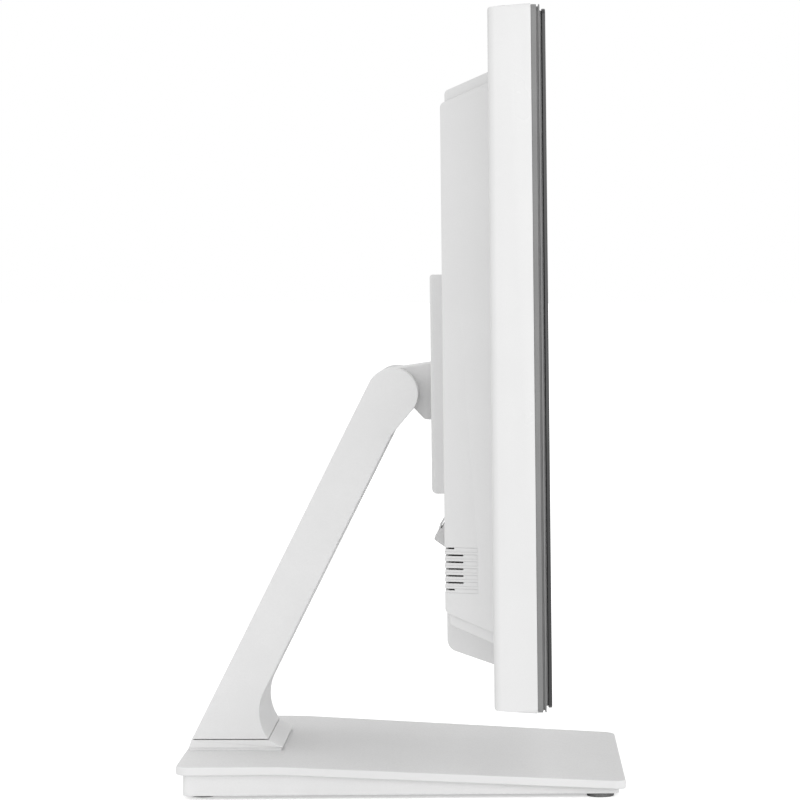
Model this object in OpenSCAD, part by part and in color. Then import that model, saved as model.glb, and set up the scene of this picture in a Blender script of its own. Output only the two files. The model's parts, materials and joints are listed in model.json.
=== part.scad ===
// All-in-one desktop computer: a screen housing with the computer in a raised back, tilting on
// a leaning neck that stands on a wedge-shaped foot.
// Millimetres. +Z is up, the screen faces -Y, and the origin is the middle of the footprint on
// the desk. The head is drawn upright and then leaned back about the tilt axis.

/* [Head] */
// Width of the screen housing at its front edge
head_w = 530; // [500:1:640]
// Height of the screen housing at its front edge
head_h = 335.1; // [320:0.1:410]
// Height of the head's lower edge above the desk
head_z = 66.9; // [60:0.1:80]
// Depth of the white rim around the screen
rim_d = 20.5; // [17:0.1:25]
// How far the rim narrows towards the back, on each side
rim_taper = 1.7; // [0.5:0.1:2.5]
// Radius of the rim's rear edge along the sides
rim_side_r = 3.8; // [2.5:0.1:5]
// Radius of the rim's rear edge along the top and bottom
rim_top_r = 1.4; // [1:0.1:2.5]
// Wall of the moulded housing
wall = 2.2; // [1.8:0.1:2.8]
// Depth of the dark frame between the rim and the glass
frame_t = 5; // [4.5:0.1:6]
// Thickness of the front glass with its backing tape
glass_t = 1.9; // [1.6:0.1:3]
// How far the glass stops short of the rim's edge
glass_inset = 2.4; // [1.5:0.1:3]
// Height of the shadow gap between the frame's ridge and the glass
glass_gap = 0.8; // [0.5:0.1:1.2]
// Corner radius of the head, seen from the front
head_r = 3.5; // [2:0.5:8]

/* [Raised back] */
// Distance from the head's side to the foot of the raised back
back_side_gap = 53; // [48:1:65]
// Distance from the head's top edge to the foot of the raised back
back_top_gap = 28.5; // [22:0.5:34]
// Distance from the head's lower edge to the foot of the raised back
back_low_gap = 27.3; // [23:0.1:32]
// Depth of the raised back, from the rim's back to the outer cover
back_d = 23.9; // [22:0.1:28]
// How far the raised back's sloped edges run in over its depth
back_run = 9.6; // [7:0.1:12]
// Thickness of the outer cover that wraps over the raised back
cover_t = 2.2; // [1.8:0.1:2.6]
// How far the outer cover stops short of the raised back's upper and lower edges
cover_inset = 5.4; // [4:0.1:8]
// Corner radius along the raised back's outer edges
back_r = 2.5; // [1:0.5:4]
// Gap at the seams between mouldings
seam = 0.1; // [0.05:0.05:0.2]

/* [Vents] */
// Number of vent slots in each lower corner
vent_count = 7; // [5:1:9]
// Distance from one vent slot to the next
vent_pitch = 3.36; // [3:0.02:4]
// Height of a vent slot
vent_h = 0.8; // [0.7:0.1:1.4]
// Length of the vent slots along the rear face
vent_len = 70; // [50:1:90]
// Depth of the vent slots along the side face
vent_depth = 9.2; // [7:0.1:11]
// Depth of the shallow scoop below each vent slot
vent_scoop = 0.3; // [0.2:0.1:0.8]
// Height of the scoop below each vent slot
scoop_h = 1.3; // [0.8:0.1:1.8]
// Height of the lowest vent slot above the head's lower edge
vent_rise = 53; // [50:0.5:60]

/* [Port cover] */
// Width of the port cover at its foot
port_w = 330; // [300:1:340]
// Drop of the port cover's foot below the foot of the raised back
port_drop = 15.7; // [14:0.1:20]
// Width of the recess that the plugs go into
bay_w = 226; // [220:1:240]
// Height of the recess that the plugs go into
bay_h = 17; // [15:0.5:19]
// Depth of the recess that the plugs go into
bay_d = 6; // [4.5:0.1:8]

/* [Bracket] */
// Width of the bracket box on the back
bracket_w = 120; // [115:1:140]
// Height of the bracket box on the back
bracket_h = 117.6; // [115:0.1:140]
// Depth of the bracket box
bracket_t = 9.4; // [8.5:0.1:12]
// Height of the bracket box's middle above the tilt axis
bracket_rise = 5.6; // [2:0.1:8]
// Distance between the bracket's screws, both ways
bolt_pitch = 100; // [75:25:100]
// Drop of the cable clip's tip below the bracket box
clip_drop = 28.2; // [24:0.1:32]

/* [Tilt hinge] */
// Height of the tilt axis above the desk
tilt_z = 211.1; // [205:0.1:235]
// Distance of the tilt axis behind the middle of the foot
tilt_y = 6.7; // [0:0.1:12]
// Distance from the tilt axis to the bracket box's face
tilt_reach = 21.4; // [19:0.1:26]
// Lean of the head at rest, top towards the back, in degrees
rest_lean = 0.6; // [0:0.1:5]
// Radius of the tilt shaft
shaft_r = 4; // [3:0.5:5]
// Radial running clearance of the knuckle on the shaft
shaft_fit = 0.05; // [0.02:0.01:0.1]
// Radius of the knuckle's barrel
knuckle_r = 13.4; // [12:0.1:15]
// Width of the knuckle between the neck's ears
knuckle_w = 48.4; // [40:0.1:60]
// Side gap between the knuckle and the washers
knuckle_gap = 0.3; // [0.2:0.05:0.5]

/* [Neck] */
// Width of the neck
neck_w = 84; // [78:1:96]
// Thickness of the neck, square to its length
neck_t = 23.7; // [21:0.1:27]
// Lean of the neck from upright, in degrees
neck_lean = 26.4; // [22:0.1:28]
// Radius of the neck's round head
neck_r = 14.1; // [13.5:0.1:16]
// Wall of the neck's mouldings
neck_wall = 2.4; // [2:0.1:3]
// Radius of the hollow at the front of the ankle
ankle_r = 24.5; // [18:0.5:32]
// Height of the plinth under the neck
plinth_h = 5.9; // [4:0.1:8]
// How far the plinth flares forward onto the foot
plinth_flare = 7.5; // [4:0.1:10]
// Height of the shadow gap under the plinth
plinth_gap = 1.6; // [1:0.1:2.5]
// Seam between the neck and the plinth
neck_seam = 0.4; // [0.2:0.05:0.6]
// Thickness of the steel spine's plates
spine_t = 3; // [2.5:0.1:4]

/* [Foot] */
// Depth of the foot from front to back
base_d = 237; // [220:1:280]
// Width of the foot at its back edge
base_w = 203; // [180:1:260]
// How much narrower the foot is at its front edge
base_taper = 20; // [0:1:40]
// Height of the foot at the back
base_h = 17.7; // [16:0.1:22]
// Height of the foot at its front edge
base_front_h = 9; // [8.5:0.1:12]
// Length of the level part at the back of the foot
base_level = 55; // [50:0.5:70]
// Thickness of the top plate's lip
lip_t = 4.5; // [4:0.1:5]
// How far the lip overhangs the pan
lip_out = 3.75; // [3:0.05:5]
// Corner radius of the foot
base_r = 7; // [4:0.5:15]
// Height of the rubber feet
pad_h = 2; // [1.2:0.1:2.5]
// Thickness of the steel weight plate
weight_t = 3.5; // [3:0.1:4]

/* [Hidden] */
$fn = 64;

arc_steps = 8;
eps = 0.01;
far = 1000;

// depths in the head, drawn upright, from the back to the front
bracket_back = tilt_y - tilt_reach;
cover_back = bracket_back - bracket_t;
shell_back = cover_back - cover_t;
rim_back = cover_back - back_d;
rim_front = rim_back - rim_d;
frame_front = rim_front - frame_t;
glass_front = frame_front - glass_t;
shell_in = shell_back - wall;
rim_in = rim_back - wall;

// outline of the head and of the raised back
head_x = head_w / 2;
head_top = head_z + head_h;
back_x = head_x - back_side_gap;
back_slope = back_run / back_d;
shell_x = back_x - cover_t;
shell_lo = head_z + back_low_gap;
shell_hi = head_top - back_top_gap;
cover_lo = shell_lo + cover_inset;
cover_hi = shell_hi - cover_inset;
slant = wall * sqrt(1 + back_slope * back_slope);

// port cover
port_x = port_w / 2;
port_lo = shell_lo - port_drop;
port_back = cover_back;
port_hi = cover_lo + back_run + 1.6;
port_slope = 0.32;
port_r = 6;
bay_x = bay_w / 2;
bay_floor = port_back - bay_d;
bay_hi = port_hi - 3.2;
bay_lo = bay_hi - bay_h;
bay_z = (bay_lo + bay_hi) / 2;
bay_wall = 1.4;
panel_t = 1;

// vents
vent_x = back_x - back_run;
vent_z = head_z + vent_rise;
vent_top = vent_z + (vent_count - 1) * vent_pitch;
vent_margin = 2.5;
vent_short = 4.4;
vent_shadow = 7;
cover_screw_r = 1.15;
cover_head_r = 2.9;

// display, tray and boards
display_margin = 17.2;
display_t = 11.6;
display_drop = 4;
display_w = head_w - 2 * display_margin;
display_h = head_h - 42.3;
display_z = head_z + head_h / 2 + display_drop;
display_front = frame_front + 0.4;
tray_t = 1.2;
contact_gap = 0.01;
tray_front = display_front + display_t + contact_gap;
tray_back = tray_front + tray_t;
tray_gap = 2;
tray_x = head_x - rim_taper - wall - tray_gap;
tray_lo = head_z + rim_taper + wall + tray_gap;
tray_hi = head_top - rim_taper - wall - tray_gap;
bracket_z = tilt_z + bracket_rise;
bolt_half = bolt_pitch / 2;
bolt_at = [for (sx = [-1, 1], sz = [-1, 1]) [sx * bolt_half, bracket_z + sz * bolt_half]];
boss_r = 5;
screw_r = 2;
screw_clear = 0.3;
board_gap = 7;
board_t = 1.6;
board_front = tray_back + board_gap;
board_back = board_front + board_t;
board_x = 125;
board_lo = port_lo + 9.5;
board_hi = bracket_z + bolt_half - boss_r - 12;
board_edge = 6;
board_at = [for (x = [-board_x + board_edge, board_x - board_edge],
                 z = [board_lo + board_edge, board_hi - board_edge]) [x, z]];
standoff_r = 3.2;
board_screw_r = 1.5;

// cooling
cpu_x = 62;
cpu_z = bracket_z - 12;
cpu_w = 44;
cpu_t = 4.5;
blower_x = shell_x - 44;
blower_z = bracket_z - 8;
blower_r = 33;
blower_wall = 1.6;
blower_front = tray_back + 6;
blower_back = shell_in - 5;
blower_out = 26;
rotor_r = 28;
rotor_hub = 12;
rotor_pin = 1.5;
rotor_blades = 24;
fins_lo = blower_z + blower_r + 7;
fins_h = 20;
fin_half = 7;
pipe_z = fins_lo + 6;
fin_pitch = 4;
fin_t = 0.8;
pipe_r = 3;
pipe_y = board_back + cpu_t + pipe_r + 0.1;

// storage, memory and small boards
drive_w = 100;
drive_h = 69.9;
drive_t = 9.5;
drive_x = -bolt_half - boss_r - 14 - drive_w;
drive_z = board_hi + 10;
drive_y = tray_back + 3;
cage_t = 1;
memory_w = 67.6;
memory_h = 30;
memory_x = -board_x + 14;
memory_z = board_hi - 74;
driver_w = 90;
driver_h = 36;
driver_x = bolt_half + boss_r + 5;
driver_z = shell_hi - back_run - driver_h - 12;
speaker_w = 62;
speaker_h = 17;
speaker_x = head_x - 128;
camera_w = 56;
camera_z = head_top - 13;
camera_r = 3.4;
camera_half = 4;

// hinge stack, from the middle outwards
knuckle_x = knuckle_w / 2;
ear_in = knuckle_x + 1.3;
washer_in = knuckle_x + knuckle_gap;
spine_in = ear_in + neck_wall + 0.3;
spine_out = spine_in + spine_t;
nut_t = 4.5;
nut_r = 7.5;
washer_r = 9;
bore_fit = 0.02;
plate_t = 2.5;
knuckle_hi = tilt_z + 16.3;
knuckle_lo = tilt_z - 15.4;
flange_back = cover_back + plate_t;
knuckle_bolt_r = 1.55;
bolt_fit = 0.05;
spine_half = 6;
eye_r = 10;

// neck
shaft_end = spine_out + nut_t + 1;
neck_x = max(neck_w / 2, shaft_end + knuckle_gap + neck_wall);
plinth_top = base_h + plinth_h;
neck_foot = plinth_top + neck_seam;
rear_n = [cos(neck_lean), sin(neck_lean)];
down = [sin(neck_lean), -cos(neck_lean)];
pivot = [tilt_y, tilt_z];
front_n = neck_r - neck_t;
cover_x = neck_x - 3.4;
cover_fit = 0.15;
slot_r = knuckle_r + 2.6;
ankle_rise = 15.3;
ankle = neck_point(front_n - ankle_r, drop_to(front_n - ankle_r, plinth_top + ankle_rise));
ankle_steps = 12;
head_steps = 20;
throat = 20;
throat_turn = 213;

// foot
base_back = base_d / 2;
base_front = -base_d / 2;
pan_floor = 2;
pan_top = pad_h + pan_floor;
pan_wall = 2.5;
roof_t = 2.5;
pad_r = 7.3;
pad_inset = 13.5;
pad_edge = 10.5;
foot_x = (base_w - base_taper) / 2;
post_r = 6;
bolt_r = 2.5;
plinth_front = neck_front(0)[0][0];
plinth_back = neck_point(neck_r, drop_to(neck_r, plinth_top))[0];
plinth_rake = 1.6;
plinth_nose = plinth_front - plinth_flare;
base_bend = min(base_back - base_level, plinth_nose);
web_top = slot_r + 14;
foot_y = (plinth_front + plinth_back) / 2;
foot_at = [for (sx = [-1, 1], sy = [-1, 1]) [sx * 20, foot_y + sy * 9]];

// side keys
key_z = head_z + 60;
key_pitch = 16;
key_w = 4.5;
key_h = 9;
key_gap = 0.3;
key_proud = 0.1;
key_flange = 1.2;
key_rib = 1.2;
key_wall = head_x - rim_taper / 2;
key_y = tray_back + key_w / 2 + key_rib + 0.6;
key_in = key_wall - rim_taper / 2 - wall - 0.4;
button_h = 12;
power_z = key_z - key_pitch - 4;

WHITE = [0.93, 0.93, 0.93];
COOL_WHITE = [0.86, 0.86, 0.87];
GREY = [0.45, 0.46, 0.48];
DARK = [0.12, 0.12, 0.13];
STEEL = [0.62, 0.63, 0.65];
BOARD = [0.08, 0.28, 0.16];
COPPER = [0.72, 0.42, 0.25];

// ---------------------------------------------------------------- outlines and helpers

function unit(v) = v / norm(v);
function flat(p) = [p[0], p[1]];

// arc that rounds corner b = [x, y, radius] between its neighbours a and c
function corner(a, b, c) =
    let (r = b[2], q = flat(b), u = unit(flat(a) - q), v = unit(flat(c) - q), half = acos(u * v) / 2)
    let (m = q + unit(u + v) * r / sin(half), s = q + u * r / tan(half) - m, e = q + v * r / tan(half) - m)
    let (a0 = atan2(s[1], s[0]), sweep = (atan2(e[1], e[0]) - a0 + 540) % 360 - 180)
    arc(m, r, a0, a0 + sweep, arc_steps);

// closed outline with each corner [x, y] left sharp and each [x, y, radius] rounded
function rounded(p) =
    [for (i = [0:len(p) - 1]) each
        (len(p[i]) < 3 || p[i][2] == 0) ? [flat(p[i])]
        : corner(p[(i + len(p) - 1) % len(p)], p[i], p[(i + 1) % len(p)])];

// points of an arc about m
function arc(m, r, a0, a1, steps) =
    [for (k = [0:steps]) let (a = a0 + (a1 - a0) * k / steps) m + r * [cos(a), sin(a)]];

module side_prism(w, p) {
    rotate([90, 0, 90]) linear_extrude(w, center = true) polygon(p);
}

module plan_prism(lo, hi, p) {
    translate([0, 0, lo]) linear_extrude(hi - lo) polygon(p);
}

module front_prism(front, back, p) {
    translate([0, back, 0]) rotate([90, 0, 0]) linear_extrude(back - front) polygon(p);
}

module block(x, y, z) {
    translate([x[0], y[0], z[0]]) cube([x[1] - x[0], y[1] - y[0], z[1] - z[0]]);
}

// round bar along Y, from front to back, at [x, z]
module post(at, front, back, r) {
    translate([at[0], back, at[1]]) rotate([90, 0, 0]) cylinder(h = back - front, r = r);
}

// round bar along X about the tilt axis
module axle(x0, x1, r) {
    translate([x0, tilt_y, tilt_z]) rotate([0, 90, 0]) cylinder(h = x1 - x0, r = r);
}

module both_sides() {
    children();
    mirror([1, 0, 0]) children();
}

// puts what is drawn upright at the head's resting lean
module head() {
    translate([0, tilt_y, tilt_z]) rotate([-rest_lean, 0, 0]) translate([0, -tilt_y, -tilt_z]) children();
}

function rect(x, lo, hi, r) = rounded([[-x, lo, r], [x, lo, r], [x, hi, r], [-x, hi, r]]);

// ---------------------------------------------------------------- foot

// height of the foot's top surface at depth y
function top_at(y) =
    let (part = max(base_bend - y, 0) / (base_bend - base_front))
    base_h - (base_h - base_front_h) * part;

// band of the foot's side outline between two drops below the top surface
function foot_band(a, b, inset) =
    let (front = base_front + inset, back = base_back - inset, low = top_at(front))
    [[back, base_h - a], [base_bend, base_h - a], [front, low - a],
     [front, low - b], [base_bend, base_h - b], [back, base_h - b]];

function foot_plan(inset) =
    let (rear_x = base_w / 2 - inset, front_x = rear_x - base_taper / 2, r = max(base_r - inset, 1))
    rounded([
        [-rear_x, base_back - inset, r], [-front_x, base_front + inset, r],
        [front_x, base_front + inset, r], [rear_x, base_back - inset, r]]);

module foot_slab(a, b, inset) {
    intersection() {
        side_prism(base_w + 2, foot_band(a, b, inset));
        plan_prism(-1, base_h + 1, foot_plan(inset));
    }
}

module base_top_plate() {
    color(WHITE) difference() {
        foot_slab(0, lip_t, 0);
        foot_slab(roof_t, lip_t + 1, lip_out + pan_wall + 0.3);
        foot_bolt_places() cylinder(h = base_h + 1, r = bolt_r + 0.2);
    }
}

// pan with a flat floor and walls that rise to the lip
module base_pan() {
    color(WHITE) difference() {
        intersection() {
            plan_prism(pad_h, base_h, foot_plan(lip_out));
            side_prism(base_w + 2, [
                [base_back, -1], [base_back, base_h - lip_t], [base_bend, base_h - lip_t],
                [base_front, base_front_h - lip_t], [base_front, -1]]);
        }
        plan_prism(pan_top, base_h, foot_plan(lip_out + pan_wall));
        foot_bolt_places() cylinder(h = base_h, r = 2 * bolt_r + 0.5);
        base_screw_places() translate([0, 0, -1]) cylinder(h = base_h, r = screw_r + screw_clear);
    }
}

module base_screw_places() {
    for (sx = [-1, 1], y = [base_back - 34, base_front + 84])
        translate([sx * (foot_x - 22), y, 0]) children();
}

module foot_bolt_places() {
    for (p = foot_at) translate([p[0], p[1], 0]) children();
}

module base_weight() {
    half = base_w / 2 - 24;
    color(STEEL) difference() {
        union() {
            block([-half, half], [base_front + 64, base_back - 12], [pan_top, pan_top + weight_t]);
            foot_bolt_places() translate([0, 0, pan_top]) cylinder(h = base_h - roof_t - pan_top, r = post_r);
        }
        foot_bolt_places() {
            cylinder(h = base_h, r = bolt_r + 0.1);
            cylinder(h = pan_top + 2, r = 2 * bolt_r + 0.1);
        }
        base_screw_places() cylinder(h = base_h, r = screw_r);
    }
}

module rubber_feet() {
    color(GREY)
    for (sx = [-1, 1], y = [base_back - pad_inset, base_front + pad_inset])
        translate([sx * (foot_x - pad_edge), y, 0]) cylinder(h = pad_h, r = pad_r);
}

module base_screws() {
    color(STEEL) base_screw_places() {
        translate([0, 0, pad_h - 0.8]) cylinder(h = 0.8, r = 3.4);
        translate([0, 0, pad_h - 0.1]) cylinder(h = pan_floor + weight_t, r = screw_r - 0.05);
    }
}

// ---------------------------------------------------------------- neck

// point at distance n behind the pivot, square to the neck, and s down its length
function neck_point(n, s) = pivot + n * rear_n + s * down;
// how far down the neck a line at distance n reaches height z
function drop_to(n, z) = (pivot[1] + n * rear_n[1] - z) / cos(neck_lean);

// front of the neck from the plinth up to the round head, moved in by inset
function neck_front(inset) =
    let (r = ankle_r + inset, low = asin((neck_foot - ankle[1]) / r))
    concat(
        arc(ankle, r, low, neck_lean, ankle_steps),
        [neck_point(front_n + inset, throat - inset)],
        [pivot + (neck_r - inset) * [cos(throat_turn), sin(throat_turn)]]);

// side outline of the neck, moved in by inset
function neck_outline(inset) = concat(
    neck_front(inset),
    arc(pivot, neck_r - inset, throat_turn, neck_lean, head_steps),
    [neck_point(neck_r - inset, drop_to(neck_r - inset, neck_foot))]);

// space between the neck's ears in which the knuckle turns
module knuckle_room() {
    axle(-ear_in, ear_in, slot_r);
    block([-ear_in, ear_in], [tilt_y - 2 * neck_t, tilt_y - 2], [tilt_z - slot_r - 4, tilt_z + 2 * neck_r]);
}

// inside of the neck's moulding, open at the foot
module neck_hollow() {
    back = neck_r - neck_wall;
    below = neck_foot - 1;
    side_prism(2 * (neck_x - neck_wall), concat(
        [[ankle[0] + ankle_r + neck_wall, below]], neck_outline(neck_wall),
        [[neck_point(back, drop_to(back, below))[0], below]]));
}

module neck_shell() {
    color(WHITE) difference() {
        side_prism(2 * neck_x, neck_outline(0));
        difference() {
            neck_hollow();
            both_sides() block([ear_in, ear_in + neck_wall], [tilt_y - 2 * neck_r, tilt_y + 2 * neck_r],
                               [tilt_z - neck_t, tilt_z + neck_t]);
        }
        side_prism(2 * cover_x, front_strip(-1, neck_wall + 0.2, 0));
        knuckle_room();
        axle(-spine_in, spine_in, washer_r + 0.3);
    }
}

// line along the neck's front, moved in by inset, for the strip that follows it
function neck_strip_side(inset, gap) =
    let (r = ankle_r + inset, low = asin((neck_foot + gap - ankle[1]) / r))
    concat(arc(ankle, r, low, neck_lean, ankle_steps), [neck_point(front_n + inset, 2 * slot_r + gap)]);

// strip that follows the neck's front between two insets
function front_strip(a, b, gap) =
    let (outer = neck_strip_side(a, gap), inner = neck_strip_side(b, gap))
    concat(outer, [for (k = [len(inner) - 1:-1:0]) inner[k]]);

module neck_front_cover() {
    color(WHITE) side_prism(2 * (cover_x - cover_fit), front_strip(0, neck_wall, cover_fit));
}

// steel channel: two side plates with the hinge eyes, a web between them and a foot plate
module neck_spine() {
    color(STEEL) difference() {
        union() {
            both_sides() {
                translate([(spine_in + spine_out) / 2, 0, 0]) side_prism(spine_t, [
                    neck_point(-spine_half, spine_half), neck_point(spine_half, 0),
                    neck_point(spine_half, drop_to(spine_half, base_h)),
                    neck_point(-spine_half, drop_to(-spine_half, base_h))]);
                axle(spine_in, spine_out, eye_r);
            }
            side_prism(2 * spine_in + 1, [
                neck_point(0, web_top), neck_point(spine_t, web_top),
                neck_point(spine_t, drop_to(spine_t, base_h)), neck_point(0, drop_to(0, base_h))]);
            block([-spine_out, spine_out], [plinth_front + neck_wall + 1, plinth_back - neck_wall - 1],
                  [base_h, base_h + spine_t]);
        }
        axle(-far, far, shaft_r + bore_fit);
        foot_bolt_places() cylinder(h = base_h + spine_t + 1, r = bolt_r);
    }
}

module spine_bolts() {
    color(STEEL) foot_bolt_places() {
        translate([0, 0, pan_top - 1]) cylinder(h = 3 - eps, r = 2 * bolt_r);
        translate([0, 0, pan_top]) cylinder(h = base_h + spine_t - pan_top, r = bolt_r - 0.03);
    }
}

// band under the neck that flares forward, on a foot set back behind a shadow gap
module neck_plinth() {
    low = base_h + plinth_gap;
    set_back = 0.8;
    nose_t = 0.3;
    color(WHITE) difference() {
        union() {
            side_prism(2 * neck_x, [
                [plinth_back + plinth_rake, low], [plinth_back, plinth_top], [plinth_front, plinth_top],
                [plinth_nose, low + nose_t], [plinth_nose, low]]);
            block([-neck_x + set_back, neck_x - set_back],
                  [plinth_nose + set_back, plinth_back + plinth_rake - set_back], [base_h, low + eps]);
        }
        block([-neck_x + neck_wall, neck_x - neck_wall],
              [plinth_front + neck_wall, plinth_back - neck_wall], [base_h - 1, plinth_top + 1]);
    }
}

// ---------------------------------------------------------------- tilt hinge

module tilt_shaft() {
    color(STEEL) axle(-shaft_end, shaft_end, shaft_r);
}

module friction_washers() {
    color(STEEL) both_sides() difference() {
        axle(washer_in, spine_in - eps, washer_r);
        axle(0, far, shaft_r + bore_fit);
    }
}

module shaft_nuts() {
    color(STEEL) both_sides() difference() {
        axle(spine_out + eps, spine_out + eps + nut_t, nut_r, $fn = 6);
        axle(0, far, shaft_r + bore_fit);
    }
}

module tilt_knuckle() {
    color(WHITE) head() difference() {
        union() {
            axle(-knuckle_x, knuckle_x, knuckle_r);
            side_prism(knuckle_w, [
                [flange_back, knuckle_lo], [bracket_back + 4.3, knuckle_lo + 0.8],
                [tilt_y - 10.8, tilt_z - 7.9], pivot, [tilt_y + 1.8, tilt_z + 13.2],
                [flange_back, knuckle_hi + 1]]);
        }
        axle(-far, far, shaft_r + shaft_fit);
        knuckle_bolt_places(flange_back - 1, flange_back + 9, knuckle_bolt_r + bolt_fit);
    }
}

module knuckle_bolt_places(front, back, r) {
    for (sx = [-1, 1], z = [knuckle_lo + 4, knuckle_hi - 4]) post([sx * (knuckle_x - 5), z], front, back, r);
}

module knuckle_bolts() {
    color(STEEL) head() {
        knuckle_bolt_places(cover_back + 0.2, flange_back + 8, knuckle_bolt_r);
        knuckle_bolt_places(cover_back + 0.2, cover_back + 1.4, 2 * knuckle_bolt_r);
    }
}

// ---------------------------------------------------------------- bracket on the back

module bracket_plate() {
    edge = 4;
    half = bracket_h / 2 - edge;
    color(STEEL) head() difference() {
        front_prism(cover_back, flange_back,
                    rect(bracket_w / 2 - edge, bracket_z - half, bracket_z + half, 3));
        for (p = bolt_at) post(p, cover_back - 1, flange_back + 1, screw_r + screw_clear);
        knuckle_bolt_places(cover_back - 1, flange_back + 1, knuckle_bolt_r + bolt_fit);
        knuckle_bolt_places(cover_back - 1, cover_back + 1.45, 2 * knuckle_bolt_r + bolt_fit);
    }
}

module bracket_cover() {
    face = 2;
    gap = 0.4;
    lo = bracket_z - bracket_h / 2;
    hi = bracket_z + bracket_h / 2;
    half = bracket_w / 2;
    color(WHITE) head() difference() {
        intersection() {
            side_prism(bracket_w, rounded([
                [cover_back, lo], [bracket_back, lo, 3], [bracket_back, hi, 1.6], [cover_back, hi]]));
            plan_prism(lo - 1, hi + 1, rounded([
                [-half, cover_back], [-half, bracket_back, 2], [half, bracket_back, 2], [half, cover_back]]));
        }
        block([-half + face, half - face], [cover_back - 1, bracket_back - face], [lo + face, hi - face]);
        block([-knuckle_x - gap, knuckle_x + gap], [cover_back, bracket_back + 1],
              [knuckle_lo - gap, knuckle_hi + 1 + gap]);
    }
}

module bracket_screws() {
    color(STEEL) head() for (p = bolt_at) {
        post(p, tray_back + 4, flange_back + eps, screw_r - 0.04);
        difference() {
            post(p, flange_back, flange_back + 2.4, 3.6);
            post(p, flange_back + 1.2, flange_back + 3, 1.5);
        }
    }
}

// ---------------------------------------------------------------- housing

// rim's corners from the front edge to the back, moved in by in, and open at the front if hollow
function rim_front_at(in) = rim_front - (in > 0 ? 1 : 0);
function rim_side(in, r) = rounded([
    [rim_front_at(in), head_z + in], [rim_back - in, head_z + rim_taper + in, r],
    [rim_back - in, head_top - rim_taper - in, r], [rim_front_at(in), head_top - in]]);
function rim_plan(in, r) = rounded([
    [-head_x + in, rim_front_at(in)], [-head_x + rim_taper + in, rim_back - in, r],
    [head_x - rim_taper - in, rim_back - in, r], [head_x - in, rim_front_at(in)]]);

module rim_form(in) {
    intersection() {
        side_prism(head_w, rim_side(in, max(rim_top_r - in, 0.5)));
        plan_prism(head_z - 1, head_top + 1, rim_plan(in, max(rim_side_r - in, 0.5)));
        front_prism(rim_front - 2, rim_back + 1,
                    rect(head_x - in, head_z + in, head_top - in, head_r - in / 2));
    }
}

// half width of the raised shell at depth y
function shell_half(y, in) = shell_x - back_slope * (y - rim_back) - in;

module shell_form(in, grow) {
    front = in > 0 ? rim_in - 1 : rim_back - 1;
    back = shell_back - (in > 0 ? wall : 0) + grow;
    x = [shell_half(front, in) + grow, shell_half(back, in) + grow];
    z = [back_slope * (front - rim_back) + in, back_slope * (back - rim_back) + in];
    intersection() {
        side_prism(head_w, rounded([
            [front, shell_lo + z[0]], [back, shell_lo + z[1], back_r],
            [back, shell_hi - z[1], back_r], [front, shell_hi - z[0]]]));
        plan_prism(shell_lo - 9, shell_hi + 9, rounded([
            [-x[0], front], [-x[1], back, back_r], [x[1], back, back_r], [x[0], front]]));
    }
}

// depth at which the port cover starts: a little behind the housing for what is cut for it
function port_start(grow) = rim_back - (grow > 0 ? eps : grow < 0 ? 1 : 0);
function port_plan(grow, back) =
    let (foot = port_x + grow, crest = foot - port_slope * (back - rim_back), front = port_start(grow))
    rounded([[-foot, front], [-crest, back, 2], [crest, back, 2], [foot, front]]);

module port_form(grow) {
    back = port_back + grow;
    rise = port_slope * (back - rim_back);
    intersection() {
        side_prism(head_w, rounded([
            [port_start(grow), port_lo - grow], [back, port_lo + rise - grow, port_r],
            [back, port_hi + grow], [port_start(grow), port_hi + grow]]));
        plan_prism(port_lo - 1, port_hi + 1, port_plan(grow, back));
    }
}

// outer cover's outline seen from above, moved in by in
function cover_plan(in) =
    let (front = rim_back + seam, back = cover_back - in,
         foot = shell_half(front, 0) + cover_t - in, crest = shell_half(cover_back, 0) + cover_t - in)
    rounded([[-foot, front], [-crest, back, back_r], [crest, back, back_r], [foot, front]]);

// window in the housing behind all the vent slots
module vent_window() {
    both_sides() block([vent_x - vent_len - vent_margin, vent_x + far],
                       [shell_back - vent_depth - vent_margin, cover_back + 1],
                       [vent_z - vent_margin, vent_top + vent_h + vent_margin]);
}

module vent_slots() {
    both_sides() for (k = [0:vent_count - 1]) {
        short = (k == 0 || k == vent_count - 1) ? vent_short : 0;
        z = vent_z + k * vent_pitch;
        block([vent_x - vent_len, vent_x + far], [cover_back - vent_depth + short, cover_back + 1],
              [z, z + vent_h]);
    }
}

// shallow step that runs under each slot and on past its end
module vent_scoops() {
    difference() {
        both_sides() for (k = [0:vent_count - 1]) {
            z = vent_z + k * vent_pitch;
            block([vent_x - vent_len, vent_x + far], [cover_back - vent_depth - vent_shadow, cover_back + 1],
                  [z - scoop_h, z + vent_h]);
        }
        plan_prism(vent_z - far, vent_top + far, cover_plan(vent_scoop));
    }
}

module rear_housing() {
    color(WHITE) head() difference() {
        union() {
            rim_form(0);
            shell_form(0, 0);
        }
        rim_form(wall);
        shell_form(slant, 0);
        port_form(seam);
        block([-port_x + port_r, port_x - port_r], [rim_in - 1, rim_back + 1], [port_lo + 4, shell_lo + 6]);
        vent_window();
        for (p = bolt_at) post(p, shell_in - 1, shell_back + 1, screw_r + screw_clear);
        cover_screw_places(shell_in - 1, shell_back + 1, cover_screw_r + bolt_fit);
        key_places() key_hole(key_h);
        power_place() key_hole(button_h);
    }
}

module cover_screw_places(front, back, r) {
    for (sx = [-1, 1], z = [cover_hi - back_run - 10, bracket_z])
        post([sx * (back_x - back_run - 16), z], front, back, r);
}

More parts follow.
